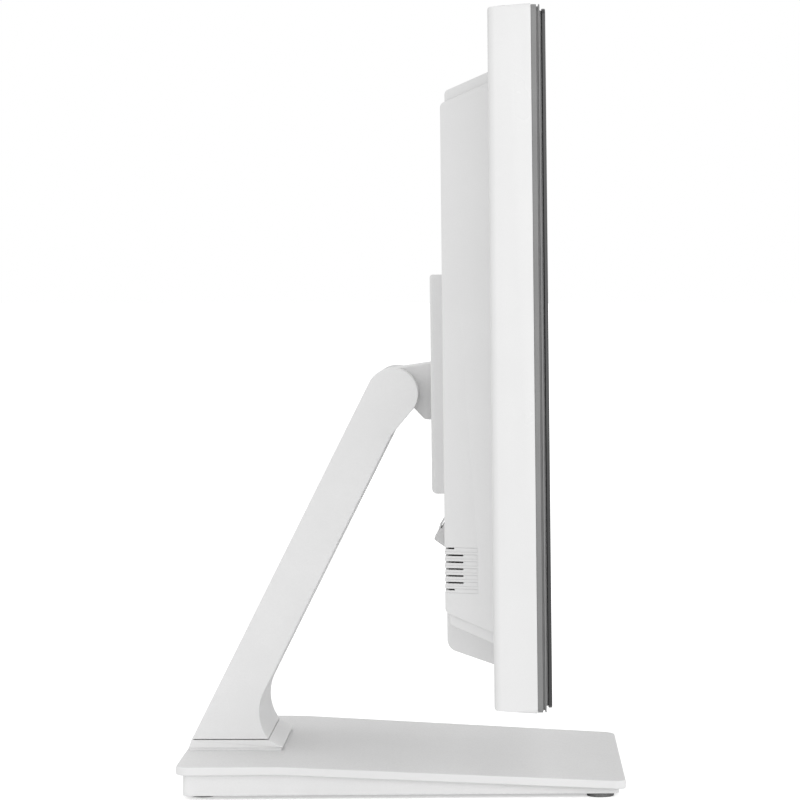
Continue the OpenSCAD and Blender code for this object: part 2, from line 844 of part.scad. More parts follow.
module rear_cover() {
    front = rim_back + seam;
    lean = back_slope * (cover_back - front);
    inner = shell_back + seam;
    foot = shell_half(front - 1, 0) + seam;
    crest = shell_half(inner, 0) + seam;
    color(COOL_WHITE) head() difference() {
        intersection() {
            side_prism(head_w, rounded([
                [front, cover_lo], [cover_back, cover_lo + lean, back_r],
                [cover_back, cover_hi - lean, back_r], [front, cover_hi]]));
            plan_prism(shell_lo, shell_hi, cover_plan(0));
        }
        plan_prism(shell_lo - 1, shell_hi + 1, [
            [-foot, front - 1], [-crest, inner], [crest, inner], [foot, front - 1]]);
        plan_prism(shell_lo - 1, port_hi + 3 * seam, port_plan(3 * seam, cover_back + 1));
        vent_slots();
        vent_scoops();
        for (p = bolt_at) post(p, shell_back - 1, cover_back + 1, screw_r + screw_clear);
        cover_screw_places(shell_back - 1, cover_back + 1, cover_screw_r + 0.45);
        cover_screw_places(cover_back - 1.2, cover_back + 1, cover_head_r + 0.2);
        clip_post(0.1);
    }
}

module cover_screws() {
    color(STEEL) head() difference() {
        union() {
            cover_screw_places(shell_in - 5, cover_back - 0.9, cover_screw_r);
            cover_screw_places(cover_back - 1.15, cover_back - 0.1, cover_head_r);
        }
        cover_screw_places(cover_back - 0.7, cover_back, 1.1);
    }
}

module port_cover() {
    color(WHITE) head() difference() {
        union() {
            difference() {
                port_form(0);
                port_form(-wall);
            }
            block([-bay_x - bay_wall, bay_x + bay_wall], [bay_floor, port_back - 1],
                  [bay_lo - bay_wall, bay_hi + bay_wall]);
        }
        block([-bay_x, bay_x], [bay_floor - 1, port_back + 1], [bay_lo, bay_hi]);
        block([-bay_x - 8, bay_x + 8], [rim_back - 1, bay_floor - 3], [port_hi - wall - 1, port_hi + 1]);
    }
}

// ---------------------------------------------------------------- ports

// places of the sockets along the port panel
data_x = [-40, -18, 4, 26];
data_w = 15;
data_h = 8;
net_x = 58;
net_w = 17;
net_h = 14;
video_x = -68;
video_w = 17;
video_h = 8;
jack_x = [-98, -86];
jack_r = 3.8;
inlet_x = 96;
inlet_w = 13;
inlet_h = 12;
panel_back = bay_floor - seam;
panel_front = panel_back - panel_t;
hole_gap = 0.2;
tongue_t = 1.8;

module socket_hole(x, w, h) {
    block([x - w / 2 - hole_gap, x + w / 2 + hole_gap], [panel_front - 1, panel_back + 1],
          [bay_z - h / 2 - hole_gap, bay_z + h / 2 + hole_gap]);
}

module port_panel() {
    color(STEEL) head() difference() {
        block([-bay_x - bay_wall - 3, bay_x + bay_wall + 3], [panel_front, panel_back],
              [bay_lo - 1, bay_hi + 1]);
        for (x = data_x) socket_hole(x, data_w, data_h);
        socket_hole(net_x, net_w, net_h);
        socket_hole(video_x, video_w, video_h);
        socket_hole(inlet_x, inlet_w, inlet_h);
        for (x = jack_x) post([x, bay_z], panel_front - 1, panel_back + 1, jack_r + hole_gap);
    }
}

// open metal shell with a tongue inside, standing on the board
module shell_socket(x, w, h, t, tongue_w) {
    difference() {
        block([x - w / 2, x + w / 2], [board_back, panel_back], [bay_z - h / 2, bay_z + h / 2]);
        block([x - w / 2 + t, x + w / 2 - t], [panel_back - 12, panel_back + 1],
              [bay_z - h / 2 + t, bay_z + h / 2 - t]);
    }
    if (tongue_w > 0)
        block([x - tongue_w / 2, x + tongue_w / 2], [panel_back - 12.5, panel_back - 2],
              [bay_z - tongue_t / 2, bay_z + tongue_t / 2]);
}

module data_sockets() {
    color(STEEL) head() for (x = data_x) shell_socket(x, data_w, data_h, 0.8, 11);
}

module network_socket() {
    color(STEEL) head() shell_socket(net_x, net_w, net_h, 2, 0);
}

module video_socket() {
    color(STEEL) head() shell_socket(video_x, video_w, video_h, 0.9, 11);
}

module audio_jacks() {
    color(DARK) head() for (x = jack_x) difference() {
        union() {
            post([x, bay_z], board_back + 4, panel_back, jack_r);
            block([x - 5, x + 5], [board_back, panel_front - 1], [bay_z - 5, bay_z + 5]);
        }
        post([x, bay_z], panel_back - 14, panel_back + 1, 1.8);
    }
}

module power_inlet() {
    color(DARK) head() {
        difference() {
            block([inlet_x - inlet_w / 2, inlet_x + inlet_w / 2], [board_back, panel_back],
                  [bay_z - inlet_h / 2, bay_z + inlet_h / 2]);
            post([inlet_x, bay_z], panel_back - 11, panel_back + 1, 3.2);
        }
        post([inlet_x, bay_z], panel_back - 12, panel_back - 1.5, 0.9);
    }
}

module vent_mesh() {
    edge = vent_margin - 0.3;
    color(DARK) head() both_sides()
        block([vent_x - vent_len - edge, vent_x - 1.5], [shell_back - 1.2, shell_back - seam],
              [vent_z - edge, vent_top + vent_h + edge]);
}

// ---------------------------------------------------------------- cable clip

clip_w = 22;
clip_out = 9.7;
clip_tip = bracket_z - bracket_h / 2 - clip_drop;
clip_slit = 0.6;
clip_post_w = 12;
clip_post_h = 2;

module clip_post(gap) {
    block([-clip_post_w / 2 - gap, clip_post_w / 2 + gap], [shell_back + seam - gap, cover_back + 1],
          [clip_tip + 8 - gap, clip_tip + 8 + clip_post_h + gap]);
}

// wedge with closed sides, slit along its upper face so that the outer skin springs
module cable_clip() {
    shoulder = [cover_back + 6.6, clip_tip + 7];
    waist = [cover_back + 7.7, clip_tip + 3.4];
    root = [cover_back, clip_tip + 18];
    skin = 0.6;
    color(WHITE) head() {
        difference() {
            side_prism(clip_w, rounded([
                [cover_back, clip_tip - 7], [cover_back + clip_out, clip_tip, 0.8], waist, shoulder, root]));
            side_prism(clip_w + 2, [
                shoulder - [skin + clip_slit, 1], shoulder - [skin, 1],
                root + [-skin, 2], root - [skin + clip_slit, 0]]);
        }
        clip_post(0);
    }
}

// ---------------------------------------------------------------- front

edge_gap = 0.4;
groove_d = 1;
groove_at = [2.6, 3.5];

// outline of the head's front, moved in by in
function front_rect(in) = rect(head_x - in, head_z + in, head_top - in, head_r);

// outline of the display, grown by out
function display_rect(out) =
    rect(display_w / 2 + out, display_z - display_h / 2 - out, display_z + display_h / 2 + out, 0.5);

// open frame with a groove round its edge and a shadow gap behind the glass
module front_frame() {
    window = 0.4;
    color(GREY) head() difference() {
        union() {
            front_prism(frame_front + glass_gap, rim_front, front_rect(edge_gap));
            front_prism(frame_front, frame_front + glass_gap, front_rect(glass_inset + glass_gap));
        }
        front_prism(frame_front - 1, rim_front + 1, display_rect(window));
        difference() {
            front_prism(rim_front - groove_at[1], rim_front - groove_at[0], front_rect(-2));
            front_prism(rim_front - groove_at[1] - 1, rim_front, front_rect(edge_gap + groove_d));
        }
        post([0, camera_z], frame_front - 1, rim_front + 1, camera_r + 1);
        block([-camera_w / 2 - window, camera_w / 2 + window], [frame_front + 1.4, rim_front + 1],
              [camera_z - camera_half - window, camera_z + camera_half + window]);
    }
}

module front_glass() {
    color(DARK) head() front_prism(glass_front, frame_front - contact_gap, front_rect(glass_inset));
}

module display_panel() {
    color(DARK) head() front_prism(display_front, tray_front - contact_gap, display_rect(0));
}

module camera_module() {
    color(BOARD) head() {
        block([-camera_w / 2, camera_w / 2], [rim_front - 1.6, rim_front - 0.4],
              [camera_z - camera_half, camera_z + camera_half]);
        post([0, camera_z], frame_front + 0.2, rim_front - 1.5, camera_r);
    }
}

// ---------------------------------------------------------------- tray and boards

module chassis_tray() {
    color(STEEL) head() difference() {
        union() {
            difference() {
                front_prism(rim_front, tray_back, rect(tray_x, tray_lo, tray_hi, 2));
                front_prism(rim_front - 1, tray_front,
                            rect(tray_x - tray_t, tray_lo + tray_t, tray_hi - tray_t, 1));
            }
            for (p = bolt_at) post(p, tray_back - eps, shell_in, boss_r);
            for (p = board_at) post(p, tray_back - eps, board_front, standoff_r);
        }
        for (p = bolt_at) post(p, tray_back + 3, shell_in + 1, screw_r);
        for (p = board_at) post(p, tray_back + 1, board_front + 1, board_screw_r);
        block([-16, 16], [tray_front - 1, tray_back + 1], [board_hi + 4, board_hi + 12]);
    }
}

module main_board() {
    color(BOARD) head() difference() {
        block([-board_x, board_x], [board_front, board_back], [board_lo, board_hi]);
        for (p = bolt_at) post(p, board_front - 1, board_back + 1, boss_r + 1.2);
        for (p = board_at) post(p, board_front - 1, board_back + 1, board_screw_r + 0.2);
    }
}

module board_screws() {
    color(STEEL) head() for (p = board_at) {
        post(p, tray_back + 2, board_back + 0.5, board_screw_r - 0.03);
        difference() {
            post(p, board_back, board_back + 1.6, 2.8);
            post(p, board_back + 0.7, board_back + 2, 1.1);
        }
    }
}

module heat_spreader() {
    color(COPPER) head() {
        block([cpu_x - cpu_w / 2, cpu_x + cpu_w / 2], [board_back, board_back + cpu_t],
              [cpu_z - cpu_w / 2, cpu_z + cpu_w / 2]);
    }
}

// pipe from the processor across to the fins beside the blower
module heat_pipe() {
    end_x = blower_x + blower_out - 4;
    knee = [blower_x - blower_r - 10, pipe_z];
    run = knee - [cpu_x, cpu_z];
    color(COPPER) head() translate([0, pipe_y, 0]) {
        translate([cpu_x, 0, cpu_z]) {
            rotate([0, 90 - atan2(run[1], run[0]), 0]) cylinder(h = norm(run), r = pipe_r);
            sphere(r = pipe_r + 0.1);
        }
        translate([knee[0], 0, knee[1]]) {
            rotate([0, 90, 0]) cylinder(h = end_x - knee[0], r = pipe_r);
            sphere(r = pipe_r + 0.1);
        }
    }
}

module fin_stack() {
    front = pipe_y - fin_half;
    back = pipe_y + fin_half;
    half = blower_out - 1;
    z = [fins_lo, fins_lo + fins_h];
    color(COPPER) head() difference() {
        union() {
            for (x = [blower_x - half:fin_pitch:blower_x + half]) block([x, x + fin_t], [front, back], z);
            block([blower_x - half, blower_x + half], [front, front + fin_t], z);
            block([blower_x - half, blower_x + half], [back - fin_t, back], z);
        }
        translate([0, pipe_y, pipe_z]) rotate([0, 90, 0]) cylinder(h = far, r = pipe_r + 0.05);
    }
}

// scroll with a round inlet at the back, open at the top towards the fins
module blower_housing() {
    x0 = blower_x - blower_out;
    x1 = blower_x + blower_out;
    top = fins_lo - 0.3;
    mid = [blower_x, blower_z];
    color(DARK) head() difference() {
        union() {
            post(mid, blower_front, blower_back, blower_r);
            block([x0, x1], [blower_front, blower_back], [blower_z, top]);
            for (sx = [-1, 1], z = [blower_z - 19, blower_z + blower_out])
                post([blower_x + sx * (blower_out - 4), z], tray_back, blower_front + 1, 3);
        }
        post(mid, blower_front + blower_wall, blower_back - blower_wall, blower_r - blower_wall);
        block([x0 + blower_wall, x1 - blower_wall], [blower_front + blower_wall, blower_back - blower_wall],
              [blower_z, top + 1]);
        post(mid, blower_back - 3, blower_back + 1, rotor_r - 7);
        post(mid, blower_front - 1, blower_front + blower_wall + 1, rotor_pin + 0.05);
    }
}

module blower_rotor() {
    front = blower_front + blower_wall + 1;
    back = blower_back - blower_wall - 1;
    mid = [blower_x, blower_z];
    color(DARK) head() union() {
        post(mid, front, back, rotor_hub);
        post(mid, front, front + 1, rotor_r - 2);
        post(mid, blower_front + 0.2, front + eps, rotor_pin);
        for (k = [0:rotor_blades - 1])
            translate([blower_x, 0, blower_z]) rotate([0, k * 360 / rotor_blades, 0])
                block([rotor_hub + 4, rotor_r], [front, back], [-0.5, 0.5]);
        difference() {
            post(mid, back - 1, back, rotor_r - 2);
            post(mid, back - 2, back + 1, rotor_hub + 4.5);
        }
    }
}

module memory_modules() {
    x = [memory_x, memory_x + memory_w];
    socket_t = 4;
    color(BOARD) head() for (k = [0, 1]) {
        z = memory_z + k * (memory_h + 6);
        block(x, [board_back, board_back + socket_t], [z, z + socket_t]);
        block(x, [board_back + 2, board_back + 3.2], [z + socket_t, z + memory_h]);
        for (chip = [x[0] + 4:15:x[0] + 50])
            block([chip, chip + 11], [board_back + 3.1, board_back + 4.2], [z + 10, z + 24]);
    }
}

module drive_cage() {
    x = [drive_x - 0.3, drive_x + drive_w + 0.3];
    z = [drive_z - 0.3, drive_z + drive_h + 0.3];
    color(STEEL) head() difference() {
        block([x[0] - cage_t, x[1] + cage_t], [tray_back, drive_y + drive_t], [z[0] - cage_t, z[1] + cage_t]);
        block(x, [drive_y - 0.1, drive_y + drive_t + 1], z);
        block([x[0] + 12, x[1] - 12], [tray_back - 1, drive_y + 1], [z[0] + 12, z[1] - 12]);
    }
}

module storage_drive() {
    color(GREY) head() difference() {
        block([drive_x, drive_x + drive_w], [drive_y, drive_y + drive_t], [drive_z, drive_z + drive_h]);
        block([drive_x + 8, drive_x + drive_w - 8], [drive_y + drive_t - 0.6, drive_y + drive_t + 1],
              [drive_z + 8, drive_z + drive_h - 8]);
    }
}

module wireless_card() {
    x = -board_x + 16;
    z = board_lo + 30;
    color(BOARD) head() {
        block([x, x + 30], [board_back, board_back + 4], [z, z + 3.5]);
        block([x, x + 30], [board_back + 2, board_back + 3], [z + 3.5, z + 27]);
        block([x + 8, x + 22], [board_back + 2.9, board_back + 4.4], [z + 9, z + 22]);
    }
}

module speakers() {
    color(DARK) head() both_sides() difference() {
        block([speaker_x, speaker_x + speaker_w], [tray_back, rim_in - 0.3],
              [tray_lo + 1, tray_lo + 1 + speaker_h]);
        block([speaker_x + 8, speaker_x + speaker_w - 8], [tray_back + 2, rim_in + 1],
              [tray_lo + 4, tray_lo + speaker_h - 2]);
    }
}

module panel_driver() {
    x = [driver_x, driver_x + driver_w];
    z = [driver_z, driver_z + driver_h];
    board_y = tray_back + 4;
    inset = 5;
    color(BOARD) head() {
        block(x, [board_y, board_y + board_t], z);
        for (px = [x[0] + inset, x[1] - inset], pz = [z[0] + inset, z[1] - inset])
            post([px, pz], tray_back, board_y + 0.1, 2.5);
        for (coil = [x[0] + 12:18:x[1] - 20])
            block([coil, coil + 12], [board_y + board_t - 0.1, board_y + 9], [z[0] + 11, z[1] - 12]);
    }
}

// flat lead from the board through the tray's slot to the display
module panel_ribbon() {
    film_t = 0.3;
    plug_t = 1.5;
    top = board_hi + 8;
    color([0.75, 0.6, 0.35]) head() {
        block([-14, 14], [tray_front, board_back + plug_t], [top - film_t, top]);
        block([-14, 14], [board_back + plug_t - film_t, board_back + plug_t], [board_hi - 8, top]);
        block([-15, 15], [board_back, board_back + plug_t], [board_hi - 12, board_hi - 8]);
    }
}

// ---------------------------------------------------------------- side keys

module key_place(k) {
    translate([0, 0, key_z + k * key_pitch]) children();
}

module key_places() {
    for (k = [0:2]) key_place(k) children();
}

module power_place() {
    translate([0, 0, power_z]) children();
}

// through hole in the rim's side for a key
module key_hole(h) {
    half = key_w / 2 + key_gap;
    block([key_wall - 6, key_wall + 6], [key_y - half, key_y + half], [-h / 2 - key_gap, h / 2 + key_gap]);
}

// cap in the wall, with a flange inside that keeps it in
module key(h) {
    half = key_w / 2;
    color(WHITE) {
        block([key_in - key_flange, head_x - key_proud], [key_y - half, key_y + half], [-h / 2, h / 2]);
        block([key_in - key_flange, key_in], [key_y - half - key_rib, key_y + half + key_rib],
              [-h / 2 - key_rib, h / 2 + key_rib]);
    }
}

module power_button() {
    head() power_place() key(button_h);
}

module key_up() {
    head() key_place(2) key(key_h);
}

module key_down() {
    head() key_place(1) key(key_h);
}

module key_menu() {
    head() key_place(0) key(key_h);
}

// small board with the switches behind the keys, on edge on the tray
module key_board() {
    face = key_in - key_flange - 1.6;
    color(BOARD) head() {
        block([face - 1 - board_t, face - 1], [tray_back, key_y + 4],
              [power_z - 9, key_z + 2 * key_pitch + 8]);
        power_place() key_switch(face);
        key_places() key_switch(face);
    }
}

module key_switch(face) {
    block([face - 1.1, face], [key_y - 2, key_y + 2], [-2, 2]);
}

base_top_plate();
base_pan();
base_weight();
rubber_feet();
base_screws();
neck_plinth();
neck_shell();
neck_front_cover();
neck_spine();
spine_bolts();
tilt_shaft();
friction_washers();
shaft_nuts();
tilt_knuckle();
knuckle_bolts();
bracket_plate();
bracket_cover();
bracket_screws();
rear_housing();
rear_cover();
cover_screws();
port_cover();
port_panel();
data_sockets();
network_socket();
video_socket();
audio_jacks();
power_inlet();
vent_mesh();
cable_clip();
front_frame();
front_glass();
display_panel();
chassis_tray();
main_board();
board_screws();
heat_spreader();
heat_pipe();
fin_stack();
blower_housing();
blower_rotor();
memory_modules();
storage_drive();
drive_cage();
wireless_card();
speakers();
camera_module();
panel_driver();
panel_ribbon();
key_board();
power_button();
key_up();
key_down();
key_menu();
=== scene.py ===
"""Looks of a white all-in-one desktop computer on a leaning neck stand."""
import json
import math

import bmesh
import bpy
from mathutils import Matrix, Vector


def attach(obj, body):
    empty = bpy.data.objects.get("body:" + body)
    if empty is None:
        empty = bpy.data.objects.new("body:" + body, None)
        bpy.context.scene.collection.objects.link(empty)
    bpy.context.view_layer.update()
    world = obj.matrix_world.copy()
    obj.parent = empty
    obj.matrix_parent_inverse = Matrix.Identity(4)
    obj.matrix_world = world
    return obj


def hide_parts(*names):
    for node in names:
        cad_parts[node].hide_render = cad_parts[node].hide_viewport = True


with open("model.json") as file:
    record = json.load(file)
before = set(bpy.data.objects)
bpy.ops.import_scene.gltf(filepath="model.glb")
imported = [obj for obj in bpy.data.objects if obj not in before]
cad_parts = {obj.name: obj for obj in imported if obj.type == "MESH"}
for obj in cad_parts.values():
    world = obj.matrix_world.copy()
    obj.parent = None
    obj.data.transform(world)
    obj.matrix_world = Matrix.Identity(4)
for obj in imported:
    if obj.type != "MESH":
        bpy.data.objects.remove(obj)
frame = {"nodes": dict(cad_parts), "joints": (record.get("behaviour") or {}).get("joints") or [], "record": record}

MM = 0.001
# Strength of the white surroundings as light on the object. They look pure white behind it.
AMBIENT = 0.88
# Extra brightness of the floor where it is seen directly
FLOOR_GLOW = 0.5
# Tone of dust as a share of the moulding's own, and what touch adds to an edge's roughness
DUST_SHADE = 0.8
TOUCH_POLISH = -0.12
# Radius of the floor in metres, past what any view shows
FLOOR_RADIUS = 60
# Mesh points closer than this are merged, and edges shorter than half of it are dissolved
MERGE_WITHIN = 0.002 * MM
# Faces that turn less than this against each other are made one
SAME_FACE = math.radians(0.6)
# Edges that turn more than this are rounded, and those that turn more than SMOOTH_BELOW look sharp
SHARP_EDGE = math.radians(30)
SMOOTH_BELOW = math.radians(35)
ROUNDING_STEPS = 3

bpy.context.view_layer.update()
nodes = frame["nodes"]
scene = bpy.context.scene
body_of = {n: b for b, members in frame["record"]["behaviour"]["bodies"].items() for n in members}
slot_of = {s["node"]: s["material_slot"] for s in frame["record"]["subparts"]}
joints = {j["name"]: j for j in frame["joints"]}

# The head is modelled upright and then leaned about the tilt axis. The blower's axis, square to
# the screen, says by how much.
pivot = Vector(joints["head_tilt"]["pos_m"])
square_on = Vector(joints["blower_spin"]["axis"])
lean_angle = math.atan2(square_on.z, square_on.y)
LEAN = Matrix.Translation(pivot) @ Matrix.Rotation(lean_angle, 4, "X") @ Matrix.Translation(-pivot)


def upright_box(node):
    """Lowest and highest corners of a head node before the head's lean."""
    back = LEAN.inverted()
    points = [back @ v.co for v in nodes[node].data.vertices]
    low = Vector([min(p[k] for p in points) for k in range(3)])
    high = Vector([max(p[k] for p in points) for k in range(3)])
    return low, high


# ---------------------------------------------------------------- camera, lights and floor

def make_camera():
    """Level camera square to the object's left side, shifted down and across to frame it."""
    data = bpy.data.cameras.new("camera")
    data.sensor_width = 36
    data.lens = 140.4
    data.shift_x = -0.13125
    data.shift_y = -0.1375
    camera = bpy.data.objects.new("camera", data)
    scene.collection.objects.link(camera)
    camera.location = (-1.733, -0.0545, 0.2675)
    camera.rotation_euler = (math.radians(90), 0, math.radians(-90))
    scene.camera = camera


def lamp(name, heading, height, size, glow, distance=3.0):
    """Disc of light seen from the object at a heading and height in degrees.

    The heading turns from the camera's side towards the screen's. The glow is the radiance a
    white wall facing the disc gives back.
    """
    middle = Vector((0, -0.02, 0.2))
    turn, rise = math.radians(heading), math.radians(height)
    flat = math.cos(rise)
    towards = Vector((-math.cos(turn) * flat, -math.sin(turn) * flat, math.sin(rise)))
    data = bpy.data.lights.new(name, "AREA")
    data.shape = "DISK"
    data.size = size
    data.energy = glow * (math.pi * distance) ** 2
    light = bpy.data.objects.new(name, data)
    light.location = middle + distance * towards
    light.rotation_euler = (-towards).to_track_quat("-Z", "Y").to_euler()
    light.visible_camera = False
    scene.collection.objects.link(light)


def make_surroundings():
    """Pure white behind the object, and a softer grey for the light that falls on it."""
    world = bpy.data.worlds.new("studio")
    world.use_nodes = True
    tree = world.node_tree
    glow = tree.nodes["Background"]
    glow.inputs["Color"].default_value = (1, 1, 1, 1)
    path = tree.nodes.new("ShaderNodeLightPath")
    strength = tree.nodes.new("ShaderNodeMapRange")
    strength.inputs["To Min"].default_value = AMBIENT
    strength.inputs["To Max"].default_value = 1.0
    tree.links.new(path.outputs["Is Camera Ray"], strength.inputs["Value"])
    tree.links.new(strength.outputs["Result"], glow.inputs["Strength"])
    scene.world = world


def make_studio():
    """Surroundings, two soft lamps and a white floor."""
    make_surroundings()
    scene.view_settings.view_transform = "Standard"
    lamp("key_light", 12, 15, 2.5, 0.12)
    lamp("screen_side_light", 45, 20, 1.6, 0.12)

    mesh = bpy.data.meshes.new("floor")
    b = bmesh.new()
    bmesh.ops.create_circle(b, cap_ends=True, segments=96, radius=FLOOR_RADIUS)
    b.to_mesh(mesh)
    b.free()
    floor = bpy.data.objects.new("floor", mesh)
    scene.collection.objects.link(floor)
    pale = bpy.data.materials.new("floor_pale")
    pale.use_nodes = True
    shader = pale.node_tree.nodes["Principled BSDF"]
    shader.inputs["Base Color"].default_value = (0.94, 0.94, 0.94, 1)
    shader.inputs["Roughness"].default_value = 0.95
    shader.inputs["Specular IOR Level"].default_value = 0.0
    shader.inputs["Emission Color"].default_value = (1, 1, 1, 1)
    path = pale.node_tree.nodes.new("ShaderNodeLightPath")
    seen = pale.node_tree.nodes.new("ShaderNodeMath")
    seen.operation = "MULTIPLY"
    seen.inputs[1].default_value = FLOOR_GLOW
    pale.node_tree.links.new(path.outputs["Is Camera Ray"], seen.inputs[0])
    pale.node_tree.links.new(seen.outputs[0], shader.inputs["Emission Strength"])
    mesh.materials.append(pale)


# ---------------------------------------------------------------- shared shader groups

def start_group(name, inputs, outputs):
    """New node group with (name, default) float inputs and named (name, type) outputs."""
    group = bpy.data.node_groups.new(name, "ShaderNodeTree")
    for label, value in inputs:
        socket = group.interface.new_socket(label, in_out="INPUT", socket_type="NodeSocketFloat")
        socket.default_value = value
    for label, kind in outputs:
        group.interface.new_socket(label, in_out="OUTPUT", socket_type=kind)
    entry = group.nodes.new("NodeGroupInput")
    leave = group.nodes.new("NodeGroupOutput")
    return group, entry, leave


def add_node(tree, kind, **settings):
    node = tree.nodes.new(kind)
    for key, value in settings.items():
        if key in node.inputs:
            node.inputs[key].default_value = value
        else:
            setattr(node, key, value)
    return node


def make_grain_group():
    """Spark-eroded mould grain: a height for bump and a tone for colour, both from 0 to 1."""
    floats = "NodeSocketFloat"
    group, entry, leave = start_group("mould_grain", [("Scale", 1500.0), ("Patch", 40.0)],
                                      [("Height", floats), ("Tone", floats)])
    place = group.nodes.new("ShaderNodeTexCoord")
    fine = add_node(group, "ShaderNodeTexNoise", Detail=3.0, Roughness=0.6)
    patch = add_node(group, "ShaderNodeTexNoise", Detail=2.0)
    for texture in (fine, patch):
        group.links.new(place.outputs["Object"], texture.inputs["Vector"])
    group.links.new(entry.outputs["Scale"], fine.inputs["Scale"])
    group.links.new(entry.outputs["Patch"], patch.inputs["Scale"])
    group.links.new(fine.outputs["Fac"], leave.inputs["Height"])
    blend = add_node(group, "ShaderNodeMath", operation="MULTIPLY")
    group.links.new(fine.outputs["Fac"], blend.inputs[0])
    group.links.new(patch.outputs["Fac"], blend.inputs[1])
    lift = add_node(group, "ShaderNodeMapRange")
    lift.inputs["From Min"].default_value = 0.15
    lift.inputs["From Max"].default_value = 0.4
    group.links.new(blend.outputs[0], lift.inputs["Value"])
    group.links.new(lift.outputs["Result"], leave.inputs["Tone"])
    return group


def make_handling_group():
    """Faint smears from handling and dusting, from 0 to 1."""
    group, entry, leave = start_group("handling", [("Scale", 9.0)], [("Mask", "NodeSocketFloat")])
    place = group.nodes.new("ShaderNodeTexCoord")
    broad = add_node(group, "ShaderNodeTexNoise", Detail=4.0, Roughness=0.55, Distortion=0.8)
    group.links.new(place.outputs["Object"], broad.inputs["Vector"])
    group.links.new(entry.outputs["Scale"], broad.inputs["Scale"])
    spread = add_node(group, "ShaderNodeMapRange")
    spread.inputs["From Min"].default_value = 0.35
    spread.inputs["From Max"].default_value = 0.7
    group.links.new(broad.outputs["Fac"], spread.inputs["Value"])
    group.links.new(spread.outputs["Result"], leave.inputs["Mask"])
    return group


def make_dust_group():
    """Thin dust on what faces up, from 0 to 1."""
    group, entry, leave = start_group("settled_dust", [("Scale", 700.0), ("Amount", 0.3)],
                                      [("Mask", "NodeSocketFloat")])
    place = group.nodes.new("ShaderNodeTexCoord")
    shape = group.nodes.new("ShaderNodeNewGeometry")
    split = group.nodes.new("ShaderNodeSeparateXYZ")
    up = add_node(group, "ShaderNodeMapRange")
    up.inputs["From Min"].default_value = 0.6
    specks = add_node(group, "ShaderNodeTexNoise", Detail=3.0, Roughness=0.7)
    group.links.new(shape.outputs["Normal"], split.inputs[0])
    group.links.new(split.outputs["Z"], up.inputs["Value"])
    group.links.new(place.outputs["Object"], specks.inputs["Vector"])
    group.links.new(entry.outputs["Scale"], specks.inputs["Scale"])
    thin = add_node(group, "ShaderNodeMath", operation="MULTIPLY")
    group.links.new(up.outputs["Result"], thin.inputs[0])
    group.links.new(specks.outputs["Fac"], thin.inputs[1])
    scaled = add_node(group, "ShaderNodeMath", operation="MULTIPLY")
    group.links.new(thin.outputs[0], scaled.inputs[0])
    group.links.new(entry.outputs["Amount"], scaled.inputs[1])
    group.links.new(scaled.outputs[0], leave.inputs["Mask"])
    return group


def make_wear_group():
    """Edges polished by touch, from 0 to 1, found from the surface's own curvature."""
    group, entry, leave = start_group("edge_polish", [("Low", 0.51), ("High", 0.6)],
                                      [("Mask", "NodeSocketFloat")])
    shape = group.nodes.new("ShaderNodeNewGeometry")
    spread = add_node(group, "ShaderNodeMapRange")
    group.links.new(shape.outputs["Pointiness"], spread.inputs["Value"])
    group.links.new(entry.outputs["Low"], spread.inputs["From Min"])
    group.links.new(entry.outputs["High"], spread.inputs["From Max"])
    group.links.new(spread.outputs["Result"], leave.inputs["Mask"])
    return group


GRAIN = make_grain_group()
HANDLING = make_handling_group()
DUST = make_dust_group()
WEAR = make_wear_group()


class Finish:
    """A material around one Principled shader, with the shared groups placed in it."""

    def __init__(self, name, **plain):
        self.material = bpy.data.materials.new(name)
        self.material.use_nodes = True
        self.tree = self.material.node_tree
        self.shader = self.tree.nodes["Principled BSDF"]
        for key, value in plain.items():
            self.shader.inputs[key.replace("_", " ")].default_value = value

    def group(self, group, **values):
        node = self.tree.nodes.new("ShaderNodeGroup")
        node.node_tree = group
        for key, value in values.items():
            node.inputs[key].default_value = value
        return node

    def link(self, source, target):
        self.tree.links.new(source, target)

    def mix(self, mask, a, b):
        """Colour from a to b by a mask, where a and b are colours or outputs."""
        node = self.tree.nodes.new("ShaderNodeMix")
        node.data_type = "RGBA"
        self.link(mask, node.inputs["Factor"])
        for value, socket in ((a, node.inputs["A"]), (b, node.inputs["B"])):
            if isinstance(value, tuple):
                socket.default_value = value
            else:
                self.link(value, socket)
        return node.outputs["Result"]

    def span(self, mask, low, high):
        """Number from low to high by a mask."""
        node = self.tree.nodes.new("ShaderNodeMapRange")
        self.link(mask, node.inputs["Value"])
        node.inputs["To Min"].default_value = low
        node.inputs["To Max"].default_value = high
        return node.outputs["Result"]

    def bump(self, height, distance):
        """Relief from a height, in metres from its lowest to its highest."""
        node = self.tree.nodes.new("ShaderNodeBump")
        node.inputs["Distance"].default_value = distance
        self.link(height, node.inputs["Height"])
        self.link(node.outputs["Normal"], self.shader.inputs["Normal"])

    def facing_up(self, low, high):
        """From 0 to 1 as the surface turns to face up."""
        shape = self.tree.nodes.new("ShaderNodeNewGeometry")
        split = self.tree.nodes.new("ShaderNodeSeparateXYZ")
        node = self.tree.nodes.new("ShaderNodeMapRange")
        node.inputs["From Min"].default_value = low
        node.inputs["From Max"].default_value = high
        self.link(shape.outputs["Normal"], split.inputs[0])
        self.link(split.outputs["Z"], node.inputs["Value"])
        return node.outputs["Result"]

    def texture(self, kind, scale, **settings):
        place = self.tree.nodes.new("ShaderNodeTexCoord")
        node = add_node(self.tree, kind, **settings)
        node.inputs["Scale"].default_value = scale
        self.link(place.outputs["Object"], node.inputs["Vector"])
        return node


def tint(value, warm=0.0):
    """Grey of a value, turned a little warm."""
    return (value + warm, value, value - warm, 1)


